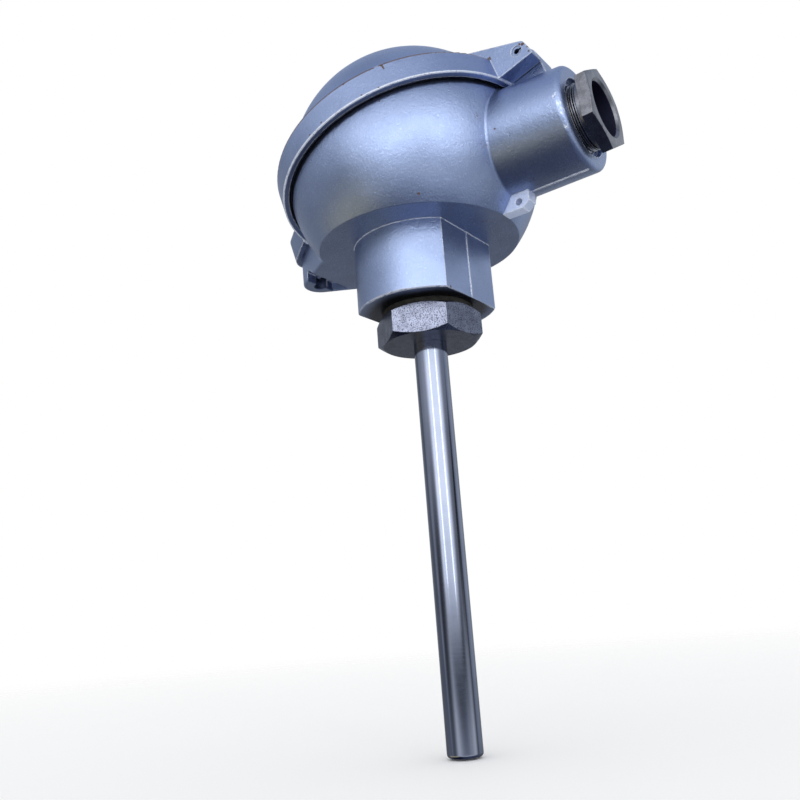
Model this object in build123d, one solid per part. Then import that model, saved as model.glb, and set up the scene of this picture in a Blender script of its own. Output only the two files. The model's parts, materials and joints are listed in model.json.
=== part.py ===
from build123d import *
import math
import os

os.makedirs("parts", exist_ok=True)

# The frame: millimetres, +Z along the stem towards the head, +X towards the cable gland.
# The origin is the centre of the bush's lower face, where the inserted length of the stem begins.

# Protection tube and its inserted length
tube_diameter = 10.0
tube_wall = 1.0
stem_length = 116.5
tip_thickness = 2.0
tip_rounding = 1.0
spigot_step = 0.4
spigot_length = 12.0

# Hexagon bush between stem and neck
bush_across_flats = 28.0
bush_hex_height = 9.0
bush_turn = 22.5
bush_corner_angle = 32.0
bush_thread_diameter = 24.0
bush_thread_length = 15.0
bush_thread_chamfer = 1.0
neck_gasket_thickness = 1.5
neck_gasket_inset = 0.2

# Neck of the housing
neck_diameter = 42.0
neck_across_flats = 32.0
neck_height = 21.2
neck_edge_rounding = 0.5

# Bowl of the housing: a ball, cut flat below and cut by the tilted parting plane above
bowl_radius = 39.5
bowl_wall = 3.0
bowl_drop = 0.5
floor_thickness = 3.0
parting_tilt = 16.8
parting_height = 46.2
parting_offset = -1.1
parting_gap = 0.2
rim_height = 3.0

# Cable gland boss on the bowl
gland_tilt = 3.0
gland_height = 38.9
gland_reach = 57.5
gland_diameter = 31.0
gland_rounding = 1.7
gland_root_diameter = 33.4
gland_root_rise = 2.6
gland_root_rounding = 0.8
gland_thread_diameter = 20.0
gland_mouth_diameter = 23.0
gland_mouth_depth = 1.6
gland_seat_reach = 41.0
gland_passage_diameter = 16.4
gland_passage_length = 21.0

# Pressure nut, washer and rubber seal of the gland
nut_across_flats = 22.0
nut_corner_angle = 12.0
nut_hex_thickness = 3.4
nut_gap = 3.1
nut_bore_diameter = 16.0
nut_bore_chamfer = 0.8
nut_thread_inside = 7.0
nut_turn = 30.0
gland_washer_thickness = 1.2
gland_washer_play = 0.3
gland_washer_bore = 14.0
gland_seal_bore = 9.0
gland_seal_play = 0.1

# Lid: a dome on a flange
flange_radius = 42.2
flange_height = 8.0
flange_rounding = 0.6
dome_radius = 38.5
dome_root_fillet = 1.2
lid_wall = 3.0
skirt_play = 0.8
gasket_thickness = 2.0
gasket_overlap = 2.4

# Hinge
hinge_reach = 48.6
hinge_height = 3.8
hinge_pin_diameter = 3.2
hinge_pin_bore = 1.6
hinge_pin_slot = 0.5
hinge_pin_recess = 0.2
hinge_window_inset = 0.2
cheek_outer = 10.8
cheek_gap = 0.25
cheek_past_pin = 3.9
cheek_end_lean = 1.1
cheek_end_height = 5.5
cheek_end_rounding = 2.2
cheek_root_reach = 33.0
cheek_root_height = 16.2
knuckle_half_width = 5.0
knuckle_radius = 3.5
knuckle_web_depth = 6.5
knuckle_web_lead = 2.6

# Closure ears
screw_reach = 46.6
ear_offset = 1.6
ear_side_angle = 31.0
ear_root_reach = 20.0
lid_ear_radius = 6.0
body_ear_radius = 4.0
foot_radius = 6.3
foot_rounding = 0.9

# Slot across the foot of the body's ear
slot_width = 5.6
slot_past_axis = 0.4
slot_depth = 3.2
slot_slope_run = 3.8
slot_end_wall = 1.2

# Captive screw of the lid, its ring and their holes
screw_core_diameter = 4.1
screw_hole_diameter = 5.6
screw_clearance = 0.3
screw_head_diameter = 8.6
screw_head_height = 3.4
screw_head_rounding = 0.5
screw_slot_width = 1.2
screw_slot_depth = 1.5
screw_slot_turn = 35.0
screw_below_parting = 5.0
screw_end_chamfer = 0.4
screw_point_diameter = 2.6
screw_point_length = 3.2
captive_ring_width = 1.2
captive_ring_thickness = 0.9
captive_ring_lift = 0.3
captive_ring_play = 0.4
ear_web = 1.6

# Seal lug in the corner between bowl and gland boss
lug_thickness = 4.0
lug_hole_diameter = 2.1
lug_hole_reach = 35.5
lug_hole_rise = 2.15
lug_end_past_hole = 3.4
lug_end_rise = 1.7
lug_corner_run = 2.3
lug_root_run = 12.0
lug_root_height = 8.0

# Parting flash on neck and gland boss
flash_width = 0.5
flash_height = 0.25

# Measuring insert
sheath_diameter = 6.0
sheath_rounding = 0.8
plate_diameter = 42.0
plate_thickness = 2.0
plate_lift = 2.2
collar_diameter = 10.0
collar_height = 3.0
lead_diameter = 1.2
lead_offset = 1.6
lead_bend_radius = 1.2
lead_in_clamp = 1.5

# Ceramic terminal block
block_length = 34.0
block_width = 21.0
block_height = 12.0
block_corner_radius = 6.0
block_edge_rounding = 0.8
block_passage_play = 0.2
saddle_width = 6.0
saddle_depth = 1.5
clamp_screw_well = 7.0

# Brass terminals and their screws
clamp_reach = 10.5
clamp_length = 8.0
clamp_width = 9.0
clamp_height = 5.0
clamp_nest_depth = 2.5
clamp_wire_height = 3.4
clamp_wire_hole = 2.0
clamp_screw_hole = 3.0
clamp_screw_depth = 2.1
small_head_height = 2.2
small_head_rounding = 0.4
small_slot_width = 0.8
small_slot_depth = 1.0
clamp_head_diameter = 5.6
clamp_slot_turn = 40.0

# Insert screws, springs and clips
plate_screw_pitch = 33.0
plate_screw_diameter = 4.0
plate_screw_depth = 2.6
plate_screw_gap = 0.2
plate_screw_head_diameter = 7.0
plate_screw_head_height = 2.6
plate_screw_head_rounding = 0.5
plate_screw_slot_width = 1.0
plate_screw_slot_depth = 1.2
spring_wire = 0.8
spring_mean_diameter = 5.6
spring_height = 11.0
spring_turns = 6.0
clip_width = 1.2
clip_thickness = 0.6
clip_gap = 0.3

# Inner earth terminal
earth_radius = 25.2
earth_angle = 150.0
earth_boss_diameter = 6.0
earth_boss_height = 4.0
earth_hole_depth = 5.0
earth_screw_diameter = 4.0
earth_screw_depth = 4.5
earth_head_diameter = 6.0
earth_slot_turn = 60.0
earth_washer_diameter = 6.4
earth_washer_thickness = 0.8

# Clearances
running_clearance = 0.05
seat_clearance = 0.02

# Levels and axes worked out from the driving sizes
neck_base = bush_hex_height + neck_gasket_thickness
bowl_base = neck_base + neck_height
floor_level = bowl_base + floor_thickness
tube_radius = tube_diameter / 2
tube_bore_radius = tube_radius - tube_wall
spigot_radius = tube_radius - spigot_step
thread_radius = bush_thread_diameter / 2
plate_level = floor_level + plate_lift
collar_level = plate_level + plate_thickness
block_level = collar_level + collar_height
block_top = block_level + block_height
clamp_level = block_top - clamp_nest_depth
tilt = math.radians(parting_tilt)
parting = Plane(
    origin=(parting_offset, 0, neck_base + parting_height),
    x_dir=(math.cos(tilt), 0, math.sin(tilt)),
    z_dir=(-math.sin(tilt), 0, math.cos(tilt)),
)
gland_slope = math.radians(gland_tilt)
gland = Plane(
    origin=(0, 0, neck_base + gland_height),
    x_dir=(0, 1, 0),
    z_dir=(math.cos(gland_slope), 0, math.sin(gland_slope)),
)
rim_radius = bowl_radius - bowl_wall
skirt_radius = bowl_radius + skirt_play
gasket_top = rim_height + gasket_thickness
ring_radius = screw_core_diameter / 2 + captive_ring_width
ear_axis = parting * Pos(-screw_reach, ear_offset, 0)
foot_axis_x = parting_offset - screw_reach / math.cos(tilt) + (parting_height - neck_height) * math.tan(tilt)
nut_inner = gland_reach - nut_thread_inside
hinge_line = parting * Pos(hinge_reach, 0, hinge_height) * Rot(90, 0, 0)
post_places = (-plate_screw_pitch / 2, plate_screw_pitch / 2)
earth_direction = math.radians(earth_angle)
earth_place = Pos(
    earth_radius * math.cos(earth_direction), earth_radius * math.sin(earth_direction), floor_level
)
far = 200.0
cut = 1.0
up = (Align.CENTER, Align.CENTER, Align.MIN)
down = (Align.CENTER, Align.CENTER, Align.MAX)


def rod(radius, start, end):
    """A cylinder on the local Z axis from one height to another."""
    return Pos(0, 0, start) * Cylinder(radius, end - start, align=up)


def ring(outer, inner, start, end):
    """A plain ring on the local Z axis."""
    return rod(outer, start, end) - rod(inner, start - cut, end + cut)


def slab(points, half_width):
    """A plate in the XZ plane: its outline is (x, z) pairs, its middle is y = 0."""
    outline = Polyline(*[(x, 0, z) for x, z in points], close=True)
    return extrude(make_face(outline), amount=half_width, both=True)


def slotted_head(radius, start, height, rounding, slot_width, slot_depth, turn):
    """A cheese head with a driver slot, on the local Z axis."""
    head = fillet(rod(radius, start, start + height).edges().group_by(Axis.Z)[-1], rounding)
    slot = Box(2 * radius + cut, slot_width, slot_depth, align=down)
    return head - Pos(0, 0, start + height) * Rot(0, 0, turn) * slot


def ear_outline(tip_x, tip_y, tip_radius):
    """The plan of a closure ear: straight sides that are tangent to a round tip."""
    side = math.radians(ear_side_angle)
    half_root = tip_radius / math.cos(side) + (-tip_x - ear_root_reach) * math.tan(side)
    touch_x = tip_x - tip_radius * math.sin(side)
    touch_y = tip_radius * math.cos(side)
    edge = Polyline(
        (touch_x, tip_y + touch_y), (-ear_root_reach, tip_y + half_root),
        (-ear_root_reach, tip_y - half_root), (touch_x, tip_y - touch_y),
    )
    tip = ThreePointArc((touch_x, tip_y - touch_y), (tip_x - tip_radius, tip_y), (touch_x, tip_y + touch_y))
    return make_face(edge + tip)


def hexagon(across_flats, start, end, turn, corner_angle, both_ends):
    """A hexagon prism whose corners are turned off conically at its lower end or at both ends."""
    radius = across_flats / 2
    plan = Rot(0, 0, turn) * RegularPolygon(radius, 6, major_radius=False)
    body = extrude(Pos(0, 0, start) * plan, amount=end - start)
    height = radius * math.tan(math.radians(corner_angle))
    low = Pos(0, 0, start) * Cone(radius, 2 * radius, height, align=up)
    body = body & (low + rod(2 * radius, start + height, end + far))
    if both_ends:
        high = Pos(0, 0, end) * Cone(2 * radius, radius, height, align=down)
        body = body & (high + rod(2 * radius, start - far, end - height))
    return body


def protection_tube():
    """Closed tube; above the bush's lower face it is turned down to a spigot."""
    stem = fillet(rod(tube_radius, -stem_length, 0).edges().group_by(Axis.Z)[0], tip_rounding)
    spigot = rod(spigot_radius, 0, spigot_length)
    bore = rod(tube_bore_radius, tip_thickness - stem_length, spigot_length + cut)
    return stem + spigot - bore


def stem_bush():
    """Hexagon bush with a threaded shank that screws up into the neck."""
    body = hexagon(bush_across_flats, 0, bush_hex_height, bush_turn, bush_corner_angle, True)
    shank_top = neck_base + bush_thread_length
    shank = rod(thread_radius - running_clearance, bush_hex_height - cut, shank_top)
    shank = chamfer(shank.edges().group_by(Axis.Z)[-1], bush_thread_chamfer)
    socket = rod(spigot_radius, -cut, spigot_length)
    passage = rod(tube_bore_radius, spigot_length - cut, shank_top + cut)
    return body + shank - socket - passage


def neck_gasket():
    """Flat ring between the bush and the neck."""
    outer = bush_across_flats / 2 - neck_gasket_inset
    return ring(outer, thread_radius, bush_hex_height, neck_base)


def neck():
    """Round neck with two wrench flats across X and a thin flash line down each flat."""
    half = neck_across_flats / 2
    body = rod(neck_diameter / 2, neck_base, bowl_base + cut)
    body = fillet(body.edges().group_by(Axis.Z)[0], neck_edge_rounding)
    body = body & Pos(0, 0, neck_base) * Box(2 * half, neck_diameter, neck_height + cut, align=up)
    flash = Box(2 * (half + flash_height), flash_width, neck_height, align=up)
    return body + Pos(0, 0, neck_base + neck_edge_rounding) * flash


def boss_taper(margin):
    """The boss's form on the local Z axis: its root is wider than its mouth and stands a little higher."""
    root = Circle(gland_root_diameter / 2 + margin)
    mouth = Circle(gland_diameter / 2 + margin)
    start = gland_seat_reach - gland_passage_length
    return loft([Pos(0, gland_root_rise, start) * root, Pos(0, 0, gland_reach) * mouth], ruled=True)


def gland_flash():
    """Thin flash line along the lowest side of the gland boss."""
    strip = Box(
        flash_width, far, gland_reach - gland_rounding, align=(Align.CENTER, Align.MAX, Align.MIN)
    )
    return gland * (boss_taper(flash_height) & strip)


def gland_passage():
    """The way in for the cable: the thread with the room for the seal, and the passage through the bowl's wall."""
    thread = rod(gland_thread_diameter / 2, gland_seat_reach, gland_reach)
    passage = rod(
        gland_passage_diameter / 2, gland_seat_reach - gland_passage_length, gland_seat_reach + cut
    )
    return gland * (thread + passage)


def bowl_ball():
    """The full ball of the bowl, cut flat below."""
    above_base = Pos(0, 0, bowl_base) * Box(far, far, far, align=up)
    return parting * Pos(0, 0, -bowl_drop) * Sphere(bowl_radius) & above_base


def knuckle():
    """Hinge knuckle between the lid's cheeks, on a web that runs down into the gland boss."""
    end = hinge_reach + cheek_past_pin - parting_gap
    inside = rim_radius + bowl_wall / 2
    lead = hinge_reach - knuckle_radius - knuckle_web_lead
    web = slab(
        [(inside, -knuckle_web_depth), (end, -knuckle_web_depth), (end, -parting_gap),
         (hinge_reach + knuckle_radius, hinge_height), (hinge_reach - knuckle_radius, hinge_height),
         (lead, parting_gap), (lead, -parting_gap), (inside, -parting_gap)],
        knuckle_half_width,
    )
    return parting * web + hinge_line * Cylinder(knuckle_radius, 2 * knuckle_half_width)


def gland_boss():
    """Tapered boss outside the bowl, with the hinge knuckle, the seat of the seal and the thread of the nut."""
    ball = bowl_ball()
    boss = boss_taper(0)
    boss = gland * fillet(boss.edges().group_by(Axis.Z)[-1], gland_rounding)
    body = ball + boss
    body = fillet(new_edges(ball, boss, combined=body), gland_root_rounding)
    body = body + gland_flash() - ball
    body = body - parting * Pos(0, 0, -parting_gap) * Box(far, far, far, align=up)
    body = body + (knuckle() - ball)
    body = body - gland * rod(gland_mouth_diameter / 2, gland_reach - gland_mouth_depth, gland_reach + cut)
    body = body - gland_passage()
    return body - hinge_line * Cylinder(hinge_pin_diameter / 2 + running_clearance, 2 * cheek_outer)


def seal_lug():
    """Thin plate in the corner under the gland boss."""
    end = lug_hole_reach + lug_end_past_hole
    outline = [
        (end - lug_root_run, bowl_base), (end - lug_corner_run, bowl_base), (end, bowl_base + lug_end_rise),
        (end, bowl_base + lug_root_height), (end - lug_root_run, bowl_base + lug_root_height),
    ]
    plate = slab(outline, lug_thickness / 2) - bowl_ball() - gland_boss()
    hole = Rot(90, 0, 0) * Cylinder(lug_hole_diameter / 2, 2 * lug_thickness)
    return plate - Pos(lug_hole_reach, 0, bowl_base + lug_hole_rise) * hole


def body_ear():
    """Ear under the parting plane: it flares towards its foot and ends flush with the flat underside."""
    top = parting * Pos(0, 0, -parting_gap) * ear_outline(-screw_reach, ear_offset, body_ear_radius)
    foot = Pos(0, 0, bowl_base) * ear_outline(foot_axis_x, ear_offset, foot_radius)
    solid = loft([top, foot], ruled=True)
    return fillet(solid.edges().group_by(Axis.Z)[0], foot_rounding)


def foot_slot():
    """Slot across the foot of the ear, open at one side: an upright wall outside, a sloping one inside."""
    outer = foot_axis_x - slot_past_axis
    inner = outer + slot_width
    roof = bowl_base + slot_depth
    outline = [
        (outer, bowl_base - cut), (outer, roof), (inner - slot_slope_run, roof),
        (inner, bowl_base), (inner, bowl_base - cut),
    ]
    closed_side = ear_outline(foot_axis_x, ear_offset, foot_radius - slot_end_wall)
    room = extrude(closed_side, amount=roof, dir=(0, 0, 1))
    open_side = Pos(0, ear_offset, 0) * Box(far, far, roof, align=(Align.CENTER, Align.MAX, Align.MIN))
    return slab(outline, far) & (room + open_side)


def cavity():
    """The room inside the bowl, open at the rim."""
    ball = parting * Pos(0, 0, -bowl_drop) * Sphere(rim_radius)
    above_floor = Pos(0, 0, floor_level) * Box(far, far, far, align=up)
    mouth = parting * rod(rim_radius, 0, rim_height + cut)
    return (ball & above_floor) + mouth


def housing():
    """The bowl with its neck and ear. The gland boss and the seal lug are cast on it."""
    body = bowl_ball() + body_ear()
    body = body - parting * Pos(0, 0, rim_height) * Box(far, far, far, align=up)
    body = body - parting * ring(far, bowl_radius, -parting_gap, far)
    body = body + neck()
    body = body - cavity() - foot_slot() - gland_passage()
    body = body + earth_place * rod(earth_boss_diameter / 2, -cut, earth_boss_height)
    body = body - earth_place * rod(
        earth_screw_diameter / 2, earth_boss_height - earth_hole_depth, earth_boss_height + cut
    )
    for y in post_places:
        body = body - Pos(0, y, floor_level) * rod(plate_screw_diameter / 2, -plate_screw_depth, cut)
    body = body - rod(thread_radius, neck_base - cut, floor_level + cut)
    return body - ear_axis * rod(screw_hole_diameter / 2, -far, cut)


def cheeks():
    """The lid's two hinge cheeks, with a window between them for the knuckle."""
    end = hinge_reach + cheek_past_pin
    block = slab(
        [(cheek_root_reach, 0), (end, 0), (end - cheek_end_lean, cheek_end_height),
         (cheek_root_reach, cheek_root_height)],
        cheek_outer,
    )
    corner = block.edges().filter_by(Axis.Y).sort_by(Axis.Z)[-2]
    block = fillet(corner, cheek_end_rounding)
    window = Box(
        far, 2 * (knuckle_half_width + cheek_gap), far, align=(Align.MIN, Align.CENTER, Align.CENTER)
    )
    return block - Pos(flange_radius - hinge_window_inset, 0, 0) * window


def lid():
    """The one-piece cast lid: dome, flange, hinge cheeks and closure ear."""
    flange = rod(flange_radius, 0, flange_height)
    flange = fillet(flange.edges().group_by(Axis.Z)[-1], flange_rounding)
    dome = Sphere(dome_radius) & rod(2 * dome_radius, flange_height - cut, far)
    body = flange + dome
    body = fillet(new_edges(flange, dome, combined=body), dome_root_fillet)
    ear = extrude(ear_outline(-screw_reach, ear_offset, lid_ear_radius), amount=flange_height)
    body = body + cheeks() + ear
    inside = dome_radius - lid_wall
    body = body - (Sphere(inside) & rod(2 * inside, 0, far)) - rod(inside, -cut, cut)
    body = parting * (body - rod(skirt_radius, -cut, gasket_top))
    body = body - hinge_line * Cylinder(hinge_pin_diameter / 2 + seat_clearance, 2 * cheek_outer + cut)
    body = body - ear_axis * rod(screw_core_diameter / 2 + screw_clearance, -cut, flange_height + cut)
    return body - ear_axis * rod(ring_radius + captive_ring_play, -cut, flange_height - ear_web)


def lid_gasket():
    """Flat seal ring in the lid, pressed on the bowl's rim."""
    return parting * ring(skirt_radius, bowl_radius - gasket_overlap, rim_height, gasket_top)


def hinge_pin():
    """Slotted spring pin, nearly as long as the cheeks are wide."""
    length = 2 * (cheek_outer - hinge_pin_recess)
    pin = Cylinder(hinge_pin_diameter / 2, length) - Cylinder(hinge_pin_bore / 2, length + cut)
    slot = Box(
        hinge_pin_diameter, hinge_pin_slot, length + cut, align=(Align.MIN, Align.CENTER, Align.CENTER)
    )
    return hinge_line * (pin - slot)


def lid_screw():
    """Slotted captive screw with a pilot point; the thread is left plain at its core diameter."""
    radius = screw_core_diameter / 2
    head = slotted_head(
        screw_head_diameter / 2, flange_height, screw_head_height, screw_head_rounding,
        screw_slot_width, screw_slot_depth, screw_slot_turn,
    )
    shank = rod(radius, -screw_below_parting, flange_height + cut)
    shank = chamfer(shank.edges().group_by(Axis.Z)[0], screw_end_chamfer)
    point = rod(screw_point_diameter / 2, -screw_below_parting - screw_point_length, 0)
    point = chamfer(point.edges().group_by(Axis.Z)[0], screw_end_chamfer)
    return ear_axis * (head + shank + point)


def lid_screw_ring():
    """Ring on the screw's shank, in the pocket of the lid's ear."""
    top = captive_ring_lift + captive_ring_thickness
    return ear_axis * ring(ring_radius, screw_core_diameter / 2, captive_ring_lift, top)


def gland_nut():
    """Hexagon pressure nut with a threaded shank and a large chamfered bore."""
    back = gland_reach + nut_gap
    front = back + nut_hex_thickness
    bore_radius = nut_bore_diameter / 2
    head = Rot(180, 0, 0) * hexagon(nut_across_flats, -front, -back, nut_turn, nut_corner_angle, False)
    shank = rod(gland_thread_diameter / 2 - running_clearance, nut_inner, back + cut)
    bore = rod(bore_radius, nut_inner - cut, front + cut)
    mouth = Cone(bore_radius, bore_radius + nut_bore_chamfer, nut_bore_chamfer, align=down)
    return gland * (head + shank - bore - Pos(0, 0, front) * mouth)


def gland_washer():
    """Pressure washer between the nut's inner end and the seal."""
    outer = gland_thread_diameter / 2 - gland_washer_play
    return gland * ring(outer, gland_washer_bore / 2, nut_inner - gland_washer_thickness, nut_inner)


def gland_seal():
    """Rubber bushing on the seat at the bottom of the threaded hole."""
    outer = gland_thread_diameter / 2 - gland_seal_play
    return gland * ring(outer, gland_seal_bore / 2, gland_seat_reach, nut_inner - gland_washer_thickness)


def insert_plate():
    """Round flange of the measuring insert, with two screw holes."""
    plate = ring(plate_diameter / 2, sheath_diameter / 2, plate_level, collar_level)
    for y in post_places:
        hole = rod(plate_screw_diameter / 2 + screw_clearance, plate_level - cut, collar_level + cut)
        plate = plate - Pos(0, y, 0) * hole
    return plate


def insert_collar():
    """Sleeve on the plate that grips the sheath and carries the terminal block."""
    return ring(collar_diameter / 2, sheath_diameter / 2, collar_level, block_level)


def insert_sheath():
    """Thin sheath that reaches down to the closed end of the tube."""
    sheath = rod(sheath_diameter / 2, tip_thickness - stem_length, block_level)
    return fillet(sheath.edges().group_by(Axis.Z)[0], sheath_rounding)


def terminal_block():
    """Ceramic block with rounded ends, two wire passages and two nests for the terminals."""
    core = Box(block_length, block_width, block_height, align=up)
    core = fillet(core.edges().filter_by(Axis.Z), block_corner_radius)
    core = fillet(core.edges().group_by(Axis.Z)[-1], block_edge_rounding)
    saddle = Box(saddle_width, saddle_width, block_height, align=up)
    core = core - Pos(0, 0, block_height - saddle_depth) * saddle
    nest = Box(clamp_length, clamp_width, block_height, align=up)
    for side in (-1, 1):
        core = core - Pos(side * clamp_reach, 0, block_height - clamp_nest_depth) * nest
        core = core - Pos(side * clamp_reach, 0, 0) * rod(
            clamp_screw_hole / 2, block_height - clamp_screw_well, block_height
        )
        core = core - Pos(side * lead_offset, 0, 0) * rod(
            lead_diameter / 2 + block_passage_play, -cut, block_height + cut
        )
    return Pos(0, 0, block_level) * core


def terminal_clamps():
    """Two brass terminals, each with a wire hole along X and a threaded hole from above."""
    body = Box(clamp_length, clamp_width, clamp_height, align=up)
    body = body - rod(clamp_screw_hole / 2, -cut, clamp_height + cut)
    wire_hole = Rot(0, 90, 0) * Cylinder(clamp_wire_hole / 2, clamp_length + cut)
    body = body - Pos(0, 0, clamp_wire_height) * wire_hole
    return Compound(children=[Pos(side * clamp_reach, 0, clamp_level) * body for side in (-1, 1)])


def terminal_screws():
    """Two slotted screws in the terminals."""
    bodies = []
    shank = rod(clamp_screw_hole / 2 - running_clearance, -clamp_screw_depth, cut)
    for side in (-1, 1):
        head = slotted_head(
            clamp_head_diameter / 2, 0, small_head_height, small_head_rounding,
            small_slot_width, small_slot_depth, side * clamp_slot_turn,
        )
        bodies.append(Pos(side * clamp_reach, 0, clamp_level + clamp_height) * (head + shank))
    return Compound(children=bodies)


def lead(side):
    """A thermocouple wire from the sheath through the block into its terminal."""
    rise = clamp_level + clamp_wire_height
    start = side * lead_offset
    end = side * (clamp_reach - clamp_length / 2 + lead_in_clamp)
    path = FilletPolyline((start, 0, block_level), (start, 0, rise), (end, 0, rise), radius=lead_bend_radius)
    profile = Pos(start, 0, block_level) * Circle(lead_diameter / 2)
    return sweep(profile, path=path)


def plate_screws():
    """Two long screws that stand in the floor; their heads hold the springs down."""
    level = plate_lift + plate_thickness + spring_height
    head = slotted_head(
        plate_screw_head_diameter / 2, level, plate_screw_head_height, plate_screw_head_rounding,
        plate_screw_slot_width, plate_screw_slot_depth, 0,
    )
    radius = plate_screw_diameter / 2 - running_clearance
    shank = rod(radius, plate_screw_gap - plate_screw_depth, level + cut)
    return Compound(children=[Pos(0, y, floor_level) * (head + shank) for y in post_places])


def plate_springs():
    """Two compression springs between the plate and the screw heads."""
    rise = spring_height - spring_wire
    path = Helix(pitch=rise / spring_turns, height=rise, radius=spring_mean_diameter / 2)
    section = Plane(origin=path @ 0, z_dir=path % 0) * Circle(spring_wire / 2)
    coil = sweep(section, path=path, is_frenet=True)
    return Compound(children=[Pos(0, y, collar_level + spring_wire / 2) * coil for y in post_places])


def plate_clips():
    """Two rings on the screws, under the plate."""
    outer = plate_screw_diameter / 2 + clip_width
    top = plate_level - clip_gap
    clip = ring(outer, plate_screw_diameter / 2, top - clip_thickness, top)
    return Compound(children=[Pos(0, y, 0) * clip for y in post_places])


def earth_screw():
    """Slotted screw of the inner earth terminal."""
    level = earth_boss_height + earth_washer_thickness
    head = slotted_head(
        earth_head_diameter / 2, level, small_head_height, small_head_rounding,
        small_slot_width, small_slot_depth, earth_slot_turn,
    )
    radius = earth_screw_diameter / 2 - running_clearance
    shank = rod(radius, earth_boss_height - earth_screw_depth, level + cut)
    return earth_place * (head + shank)


def earth_washer():
    """Washer under the earth screw's head."""
    top = earth_boss_height + earth_washer_thickness
    return earth_place * ring(earth_washer_diameter / 2, earth_screw_diameter / 2, earth_boss_height, top)


pieces = {
    "housing": housing(),
    "gland_boss": gland_boss(),
    "seal_lug": seal_lug(),
    "lid": lid(),
    "lid_gasket": lid_gasket(),
    "hinge_pin": hinge_pin(),
    "lid_screw": lid_screw(),
    "lid_screw_ring": lid_screw_ring(),
    "gland_nut": gland_nut(),
    "gland_washer": gland_washer(),
    "gland_seal": gland_seal(),
    "neck_gasket": neck_gasket(),
    "stem_bush": stem_bush(),
    "protection_tube": protection_tube(),
    "insert_plate": insert_plate(),
    "insert_collar": insert_collar(),
    "insert_sheath": insert_sheath(),
    "terminal_block": terminal_block(),
    "terminal_clamps": terminal_clamps(),
    "terminal_screws": terminal_screws(),
    "lead_positive": lead(1),
    "lead_negative": lead(-1),
    "plate_screws": plate_screws(),
    "plate_springs": plate_springs(),
    "plate_clips": plate_clips(),
    "earth_screw": earth_screw(),
    "earth_washer": earth_washer(),
}

for name, solid in pieces.items():
    export_step(solid, f"parts/{name}.step")
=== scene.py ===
"""Looks of the thermocouple: the finish of every piece, its screw threads, and its springs.

The object's sizes are named in millimetres, and MM turns them into the metres of the frame. Those of the
camera's place, the lamps, the floor and the tent are in metres.
"""

import json
import logging
import math
from dataclasses import dataclass
from enum import Enum
from typing import Any, Union

import bmesh
import bpy
import numpy as np
from mathutils import Matrix, Vector


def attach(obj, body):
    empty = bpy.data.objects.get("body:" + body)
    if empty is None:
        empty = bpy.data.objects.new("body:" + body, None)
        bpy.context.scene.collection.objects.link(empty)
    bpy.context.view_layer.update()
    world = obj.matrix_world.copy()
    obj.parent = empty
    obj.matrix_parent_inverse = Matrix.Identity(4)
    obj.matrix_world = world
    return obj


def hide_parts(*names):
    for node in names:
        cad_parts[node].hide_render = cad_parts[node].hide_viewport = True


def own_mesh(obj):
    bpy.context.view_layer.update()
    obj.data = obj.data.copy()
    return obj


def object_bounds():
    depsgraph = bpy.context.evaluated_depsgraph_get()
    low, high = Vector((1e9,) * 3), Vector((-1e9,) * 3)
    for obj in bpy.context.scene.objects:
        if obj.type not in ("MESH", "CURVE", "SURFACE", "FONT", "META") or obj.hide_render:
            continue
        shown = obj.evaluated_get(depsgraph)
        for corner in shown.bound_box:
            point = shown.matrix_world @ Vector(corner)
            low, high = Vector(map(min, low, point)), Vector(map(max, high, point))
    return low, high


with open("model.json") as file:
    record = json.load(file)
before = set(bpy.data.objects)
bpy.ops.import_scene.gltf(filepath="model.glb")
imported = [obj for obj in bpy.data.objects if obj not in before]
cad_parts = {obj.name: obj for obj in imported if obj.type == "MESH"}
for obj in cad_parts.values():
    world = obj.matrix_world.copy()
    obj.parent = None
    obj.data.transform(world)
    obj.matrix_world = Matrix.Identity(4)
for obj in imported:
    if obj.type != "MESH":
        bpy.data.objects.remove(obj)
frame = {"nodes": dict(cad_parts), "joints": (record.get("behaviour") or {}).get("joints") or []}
CAD_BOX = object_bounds()
LOG = logging.getLogger("thermocouple")
MM = 0.001

Colour = tuple[float, float, float]
Triple = tuple[float, float, float]
Span = tuple[float, float]
Operand = Union["Socket", float]

WHITE = (1.0, 1.0, 1.0, 1.0)
NOISE_MIDDLE = 0.5
EDGE_SAMPLES = 4


class Body(Enum):
    """The bodies of the frame that the scene's own pieces ride on."""

    HOUSING = "housing"
    LID_SCREW = "lid_screw"
    GLAND_NUT = "gland_nut"


@dataclass(frozen=True)
class Axes:
    """A local frame of the head, in millimetres: an origin, two directions across an axis, and the axis."""

    origin: Triple
    across: Triple
    aside: Triple
    along: Triple

    def points(self, across: np.ndarray, aside: np.ndarray, along: np.ndarray) -> np.ndarray:
        """Places local coordinates in the frame: origin + across*X + aside*Y + along*Z.

        Args:
            across: coordinates along the first direction.
            aside: coordinates along the second direction.
            along: coordinates along the axis.

        Returns:
            An array of points in millimetres, one row each.
        """
        rows = [np.asarray(part, float).reshape(-1, 1) for part in (across, aside, along)]
        directions = [np.array(d) for d in (self.across, self.aside, self.along)]
        return np.array(self.origin) + sum(row * d for row, d in zip(rows, directions))

    def point(self, across: float, aside: float, along: float) -> Triple:
        """One place in the frame, from its three local coordinates."""
        return tuple(self.points(*map(np.array, (across, aside, along)))[0].tolist())


def joint(name: str) -> dict:
    """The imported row's joint of that name."""
    return next(j for j in frame["joints"] if j["name"] == name)


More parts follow.
